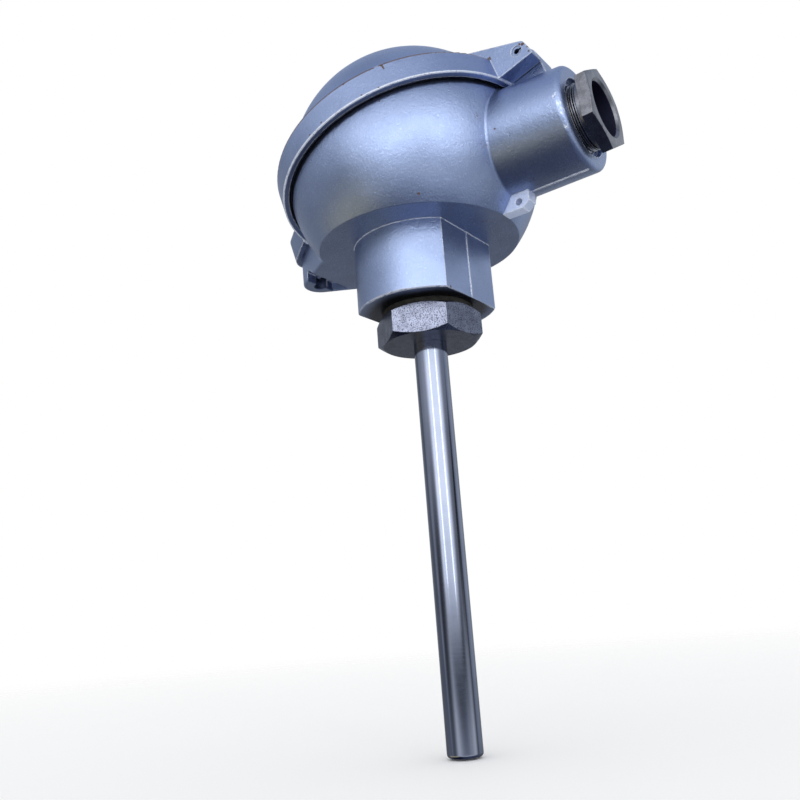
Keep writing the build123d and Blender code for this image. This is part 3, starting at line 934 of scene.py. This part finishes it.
@dataclass
class Castings:
    """The lid, the housing, its gland boss and its seal lug: their lacquer, with each one's own chips."""

    flange_radius: float = 42.2
    flange_height: float = 8.0
    crease_inset: float = 0.15
    chip_inset: float = 0.1
    bowl_radius: float = 39.5
    bush_seat: float = 10.5
    foot_level: float = 31.7
    # depth of the painted shadow under the lid's edge
    shadow_depth: float = 1.9

    def flange_chip(self, angle: float, drop: float, size: float) -> Chip:
        """A chip on the flange.

        Args:
            angle: degrees round the lid from the hinge.
            drop: how far below the flange's upper edge.
            size: how far it reaches.

        Returns:
            The chip, placed in the frame.
        """
        turn = math.radians(angle)
        across, aside = self.flange_radius * math.cos(turn), self.flange_radius * math.sin(turn)
        return Chip(PARTING.point(across, aside, self.flange_height - self.chip_inset - drop), size)

    def lid_chips(self) -> tuple[Chip, ...]:
        """Places the lid's chips.

        Returns:
            Chips along the flange's upper edge, four lower down, and some at a hinge cheek's corner.
        """
        flange = (
            (-86.2, 0.0, 0.42), (-85.0, 0.0, 0.30), (-80.5, 0.0, 0.34), (-79.0, 0.0, 0.42), (-77.8, 0.4, 0.50),
            (-66.8, 0.0, 0.48), (-62.4, 0.0, 0.50), (-61.9, 0.7, 0.46), (-61.7, 1.4, 0.40), (-61.6, 2.0, 0.30),
            (-60.6, 0.2, 0.48), (-59.9, 0.0, 0.42), (-51.4, 0.0, 0.50), (-50.2, 0.0, 0.34), (-73.0, 7.2, 0.32),
            (-92.0, 6.8, 0.34), (-66.0, 7.4, 0.28), (-99.0, 7.0, 0.30),
        )
        cheek = (
            ((51.0, -10.8, 4.4), 0.55), ((51.9, -10.6, 2.6), 0.5), ((51.7, -10.8, 1.0), 0.35),
            ((50.2, -10.8, 5.0), 0.4),
        )
        return (
            *(self.flange_chip(*chip) for chip in flange),
            *(Chip(PARTING.point(*place), size) for place, size in cheek),
        )

    def housing_chips(self) -> tuple[Chip, ...]:
        """Specks on the boss, on the bowl and at the neck's lower corner."""
        return (
            Chip((37.5, -16.0, 50.2), 0.34), Chip((37.2, -15.9, 51.6), 0.2), Chip((17.6, -26.7, 33.7), 0.42),
            Chip((16.2, -26.9, 33.9), 0.26), Chip((16.0, -11.5, 11.0), 0.42), Chip((13.7, -36.5, 59.5), 0.26),
            Chip((-30.0, -24.0, 47.0), 0.3), Chip((-12.0, 36.4, 44.0), 0.4), Chip((20.0, 30.0, 40.0), 0.34),
        )

    def boss_scuffs(self) -> tuple[Chip, ...]:
        """Bright scratches round the boss's mouth, on its -Y side."""
        return (
            Chip((56.1, -15.4, 52.5), 1.3), Chip((56.7, -14.7, 48.1), 1.5), Chip((56.9, -13.1, 44.3), 1.1),
            Chip((56.5, -15.2, 50.3), 1.0),
        )

    def build(self) -> list[bpy.types.Object]:
        """Dresses the castings.

        Returns:
            Their objects.
        """
        crease = Circle(self.flange_radius - self.crease_inset, self.flange_height - self.crease_inset)
        chips = self.housing_chips()
        finishes = {
            "lid": CastLacquer(
                "lacquer_lid", Chipping(self.lid_chips(), crease=crease),
                # bright edge lines, with a painted highlight along the flange's lower rim
                EdgeWearAndHighlight(rim=Circle(self.flange_radius)),
            ),
            "housing": CastLacquer(
                "lacquer_housing", Chipping(chips), EdgeWearAndHighlight(unmarked_level=self.foot_level),
                # painted shade under the lid's edge and round the bush
                PaintedShade(self.shadow_depth, self.bush_seat),
            ),
            "gland_boss": CastLacquer(
                "lacquer_boss", Chipping(chips), EdgeWearAndHighlight(scuffs=self.boss_scuffs()),
                joined_below=self.bowl_radius,
            ),
            # the lug's lacquer is a lighter, less metallic copy: painted light for its brightly lit face
            "seal_lug": CastLacquer(
                "lit_lacquer_lug", tint=(0.58, 0.66, 0.88), shade=(0.48, 0.56, 0.78), metallic=0.35,
            ),
        }
        return [dress(node, finish.build()) for node, finish in finishes.items()]


def dress(node: str, finish: bpy.types.Material) -> bpy.types.Object:
    """Gives a solid of the frame its finish.

    Args:
        node: the solid's name.
        finish: its material.

    Returns:
        The solid's object.
    """
    piece = frame["nodes"][node]
    for slot in piece.material_slots:
        slot.material = finish
    return piece


GROUND_STEEL = Metal(
    "ground_steel", (0.24, 0.27, 0.37), (0.20, 0.23, 0.32), roughness=0.11, stain_size=18.0,
    marks=(0.12, 0.12, 2.4), mark_size=0.5, mark_depth=0.0015, anisotropic=0.35,
)
BUSH_STEEL = Metal(
    "bush_steel", (0.22, 0.245, 0.345), (0.155, 0.170, 0.245), roughness=0.32, stain_size=3.0, pits=0.90,
    mark_size=0.25, mark_depth=0.006, edge_rounding=0.25,
)
# within 8 mm of the gland's axis this nickel is painted dark, as painted shade in the bore
NICKEL = Metal(
    "dull_nickel", (0.22, 0.23, 0.27), (0.145, 0.15, 0.18), roughness=0.28, stain_size=2.4, pits=0.12,
    mark_size=0.5, mark_depth=0.002, edge_rounding=0.15, shaded_bore_radius=8.0,
)
PIN_STEEL = Metal(
    "pin_steel", (0.27, 0.34, 0.54), (0.16, 0.20, 0.32), roughness=0.42, stain_size=1.1, mark_depth=0.006,
    edge_rounding=0.05,
)
ZINC = Metal("zinc_plate", (0.62, 0.64, 0.68), (0.55, 0.54, 0.50), roughness=0.25, stain_size=2.0)
PLATE_STEEL = Metal(
    "insert_steel", (0.52, 0.53, 0.56), (0.44, 0.44, 0.46), roughness=0.33, stain_size=6.0,
    marks=(0.2, 2.0, 1.0), mark_depth=0.005,
)
BRASS = Metal("bright_brass", (0.72, 0.50, 0.20), (0.56, 0.36, 0.13), roughness=0.27, stain_size=2.0)
WIRE = Metal("alloy_wire", (0.46, 0.43, 0.38), (0.34, 0.30, 0.26), roughness=0.35, stain_size=1.5)
CERAMIC = Plain("terminal_ceramic", (0.78, 0.74, 0.66), (0.66, 0.61, 0.53), 0.62, patch=4.0, relief=0.015)
RUBBER = Plain("seal_rubber", (0.035, 0.035, 0.038), (0.020, 0.020, 0.022), 0.72, patch=5.0, relief=0.02)
# the fibre itself is yellowish; it is made near black as painted shade for the gap between neck and bush
SHADED_FIBRE = Plain(
    "shaded_pressed_fibre", (0.022, 0.021, 0.017), (0.007, 0.007, 0.008), 0.80, patch=1.2, grain=0.2, relief=0.05,
)

FINISHES = {
    BUSH_STEEL: ("stem_bush",),
    GROUND_STEEL: ("protection_tube", "insert_sheath"),
    NICKEL: ("gland_washer",),
    PIN_STEEL: ("hinge_pin",),
    ZINC: (
        "lid_screw", "lid_screw_ring", "plate_screws", "plate_springs", "plate_clips",
        "earth_screw", "earth_washer",
    ),
    PLATE_STEEL: ("insert_plate", "insert_collar"),
    BRASS: ("terminal_clamps", "terminal_screws"),
    WIRE: ("lead_positive", "lead_negative"),
    CERAMIC: ("terminal_block",),
    RUBBER: ("lid_gasket", "gland_seal"),
    SHADED_FIBRE: ("neck_gasket",),
}


@dataclass
class Viewpoint:
    """The camera of the photograph: where it stands and how it looks, in the object's frame.

    Its focal length and the frame's width are in pixels, and the sensor's width is in millimetres.
    """

    frame_size: float = 800.0
    focal: float = 868.856
    place: Triple = (0.135585, -0.210814, -0.079001)
    azimuth: float = 35.114
    pitch: float = 14.042
    roll: float = -4.330
    sensor: float = 36.0
    clip: Span = (0.01, 50.0)

    def directions(self) -> tuple[Vector, Vector, Vector]:
        """Works out how the camera stands.

        Returns:
            Its right, up and forward directions.
        """
        turn, rise, roll = (math.radians(a) for a in (self.azimuth, self.pitch, self.roll))
        forward = Vector((-math.sin(turn) * math.cos(rise), math.cos(turn) * math.cos(rise), math.sin(rise)))
        level = forward.cross(Vector((0, 0, 1))).normalized()
        upright = level.cross(forward)
        right = math.cos(roll) * level + math.sin(roll) * upright
        up = math.cos(roll) * upright - math.sin(roll) * level
        return right, up, forward

    def build(self) -> bpy.types.Object:
        """Places the camera and makes it the scene's own.

        Returns:
            The camera.
        """
        data = bpy.data.cameras.new("camera")
        data.sensor_width = self.sensor
        data.lens = self.focal / self.frame_size * self.sensor
        data.clip_start, data.clip_end = self.clip
        camera = linked("camera", data)
        right, up, forward = self.directions()
        turn = Matrix((right, up, -forward)).transposed().to_4x4()
        camera.matrix_world = Matrix.Translation(self.place) @ turn
        bpy.context.scene.camera = camera
        return camera


def outward(azimuth: float, elevation: float) -> Triple:
    """A direction from the object, given in degrees. Azimuth 0 is towards -Y, and 90 towards +X."""
    turn, rise = math.radians(azimuth), math.radians(elevation)
    return math.sin(turn) * math.cos(rise), -math.cos(turn) * math.cos(rise), math.sin(rise)


@dataclass(frozen=True)
class Light:
    """A soft lamp: its direction from the object and its extent in degrees, and its level, where 1 is white."""

    name: str
    azimuth: float
    elevation: float
    width: float = 6.0
    height: float = 22.0
    level: float = 3.0
    tint: Colour = (1.0, 0.99, 0.96)
    distance: float = 0.8

    def extent(self, degrees: float) -> float:
        """The size that spans an angle at the lamp's distance."""
        return 2 * self.distance * math.tan(math.radians(degrees) / 2)

    def build(self, centre: Vector) -> bpy.types.Object:
        """Makes an area lamp.

        Args:
            centre: the place that it faces.

        Returns:
            The lamp.
        """
        data = bpy.data.lights.new(self.name, "AREA")
        data.shape = "RECTANGLE"
        data.size, data.size_y = self.extent(self.width), self.extent(self.height)
        data.energy = self.level * math.pi * data.size * data.size_y
        data.color = self.tint
        lamp = linked(self.name, data)
        out = Vector(outward(self.azimuth, self.elevation))
        turn = out.to_track_quat("Z", "Y").to_matrix().to_4x4()
        lamp.matrix_world = Matrix.Translation(centre + out * self.distance) @ turn
        return lamp


@dataclass(frozen=True)
class Patch:
    """A soft-edged area of the tent: its direction from the object and its reach to each side, in degrees."""

    azimuth: float
    elevation: float
    half_width: float
    half_height: float
    blur: float
    level: float
    tint: Colour = (0.88, 0.94, 1.0)
    facing: Span = (0.0, 0.1)

    def colour(self) -> Colour:
        """The tint at the patch's level."""
        return tuple(self.level * part for part in self.tint)

    def side(self, ray: Socket, direction: Triple, half: float) -> Socket:
        """1 where a ray lies within a half angle's sine along a direction, with blurred borders."""
        reach = math.sin(math.radians(half))
        return ray.dot(direction).size().step(reach + self.blur, reach - self.blur)

    def mask(self, ray: Socket) -> Socket:
        """Finds what a patch covers.

        Args:
            ray: a direction of length 1.

        Returns:
            1 inside the patch and 0 outside and behind.
        """
        across = self.side(ray, outward(self.azimuth + 90, 0.0), self.half_width)
        upward = self.side(ray, outward(self.azimuth, self.elevation + 90), self.half_height)
        return across * upward * ray.dot(outward(self.azimuth, self.elevation)).step(*self.facing)


@dataclass
class Tent:
    """A ball round the studio that only reflections see: dark below, light above, with patches."""

    radius: float = 1.5
    subdivisions: int = 5
    nadir: Colour = (0.12, 0.14, 0.20)
    nadir_fade: Span = (-0.70, -0.36)
    horizon: Colour = (0.34, 0.38, 0.46)
    zenith_fade: Span = (0.1, 0.8)
    zenith: Colour = (0.42, 0.49, 0.62)
    patches: tuple[Patch, ...] = (
        Patch(-145.0, 9.0, 62.0, 20.0, 0.25, 0.42),
        Patch(-60.0, 5.0, 42.0, 24.0, 0.25, 0.28),
        Patch(-80.0, -62.0, 55.0, 22.0, 0.20, 0.025, (0.70, 0.85, 1.9)),
        Patch(-152.0, -32.0, 55.0, 16.0, 0.15, 0.19, (1.0, 0.98, 0.93)),
        Patch(145.0, 14.0, 25.0, 25.0, 0.20, 0.76),
        Patch(104.0, -6.0, 26.0, 20.0, 0.12, 0.05),
        Patch(20.0, 42.0, 70.0, 20.0, 0.25, 1.00, (0.98, 0.99, 1.0)),
        Patch(32.0, 15.0, 45.0, 17.0, 0.18, 2.80, (1.0, 0.99, 0.93)),
        Patch(30.0, -9.0, 60.0, 4.0, 0.08, 0.16),
        Patch(-30.0, -3.0, 18.0, 9.0, 0.15, 0.10),
        Patch(-45.0, -28.0, 30.0, 8.0, 0.10, 1.20, (1.0, 0.82, 0.42)),
        Patch(50.0, -24.0, 62.0, 8.0, 0.12, 1.20, (0.98, 0.98, 0.94)),
    )

    def build(self) -> bpy.types.Object:
        """Makes the ball and its glow.

        Returns:
            The ball.
        """
        mesh = bpy.data.meshes.new("tent")
        ball = bmesh.new()
        bmesh.ops.create_icosphere(ball, subdivisions=self.subdivisions, radius=self.radius)
        ball.to_mesh(mesh)
        ball.free()
        shader = Shader(bpy.data.materials.new("tent"))
        ray = shader.node("ShaderNodeTexCoord", output="Object").vector("NORMALIZE")
        colour = shader.mix(ray.height().step(*self.nadir_fade), self.nadir, self.horizon)
        colour = shader.mix(ray.height().step(*self.zenith_fade), colour, self.zenith)
        for patch in self.patches:
            colour = shader.mix(patch.mask(ray), colour, patch.colour())
        mesh.materials.append(shader.close(shader.node("ShaderNodeEmission", None, {"Color": colour})))
        tent = linked("tent", mesh)
        tent.visible_camera = tent.visible_diffuse = tent.visible_shadow = tent.visible_transmission = False
        return tent


@dataclass
class Studio:
    """A pale floor that fades into white, soft lamps beside the camera, and a tent for the metal."""

    centre: Triple = (0.0, 0.0, 0.03)
    floor_drop: float = 0.0004
    floor_radius: float = 0.9
    floor_sides: int = 96
    floor_tint: Colour = (0.97, 0.975, 0.98)
    floor_roughness: float = 0.8
    floor_specular: float = 0.2
    floor_fade: Span = (0.12, 0.95)
    ambient: float = 0.95
    lamps: tuple[Light, ...] = (Light("window_left", 14.0, 6.0), Light("window_right", 60.0, 5.0))

    def world(self) -> None:
        """White where the camera and reflections look, and a plain level for the rest."""
        world = bpy.data.worlds.new("studio_world")
        bpy.context.scene.world = world
        sky = Shader(world)
        seen = sky.node("ShaderNodeLightPath", output="Is Camera Ray")
        for ray in ("Is Glossy Ray", "Is Transmission Ray"):
            seen = seen.most(sky.node("ShaderNodeLightPath", output=ray))
        level = sky.node("ShaderNodeMapRange", None, {0: seen, 3: self.ambient, 4: 1.0})
        glow = sky.node("ShaderNodeBackground", None, {"Color": WHITE, "Strength": level})
        sky.close(glow, "ShaderNodeOutputWorld")

    def floor(self) -> bpy.types.Object:
        """Makes a round floor just under the stem's tip, which fades out towards its border.

        Returns:
            The floor.
        """
        turn = np.linspace(0, 2 * math.pi, self.floor_sides + 1)[:-1]
        level = CAD_BOX[0].z - self.floor_drop
        rim = np.stack([np.cos(turn), np.sin(turn), np.zeros_like(turn)], 1) * self.floor_radius
        mesh = bpy.data.meshes.new("floor")
        mesh.from_pydata((rim + (0, 0, level)).tolist(), [], [list(range(self.floor_sides))])
        floor = linked("floor", mesh)
        shader = Shader(bpy.data.materials.new("pale_floor"))
        away = (shader.place().off_stem() * MM).step(*(self.floor_radius * part for part in self.floor_fade))
        surface = shader.node(
            "ShaderNodeBsdfPrincipled", None,
            {
                "Base Color": (*self.floor_tint, 1.0), "Roughness": self.floor_roughness,
                "Specular IOR Level": self.floor_specular,
            },
        )
        clear = shader.node("ShaderNodeBsdfTransparent")
        faded = shader.node("ShaderNodeMixShader", None, {0: away, 1: surface, 2: clear})
        mesh.materials.append(shader.close(faded))
        floor.visible_glossy = False
        return floor

    def build(self) -> None:
        """Sets up world, floor, lamps and tent."""
        view = bpy.context.scene.view_settings
        view.view_transform = "Standard"
        self.world()
        self.floor()
        centre = Vector(self.centre)
        for light in self.lamps:
            light.build(centre)
        Tent().build()


def main() -> None:
    """Builds every part of the scene in order and reports each piece."""
    logging.basicConfig(level=logging.INFO, format="%(name)s: %(message)s")
    Viewpoint().build()
    Studio().build()
    for piece in Castings().build():
        LOG.info("dressed %s in lacquer", piece.name)
    built = {finish: finish.build() for finish in FINISHES}
    for finish, nodes in FINISHES.items():
        for node in nodes:
            LOG.info("dressed %s in %s", dress(node, built[finish]).name, finish.name)
    for part, finish in ((PressureNut(), NICKEL), (ScrewThread(), ZINC), (PlateSprings(), ZINC)):
        LOG.info("made %s", part.build(built[finish]).name)


if __name__ == "__main__":
    main()
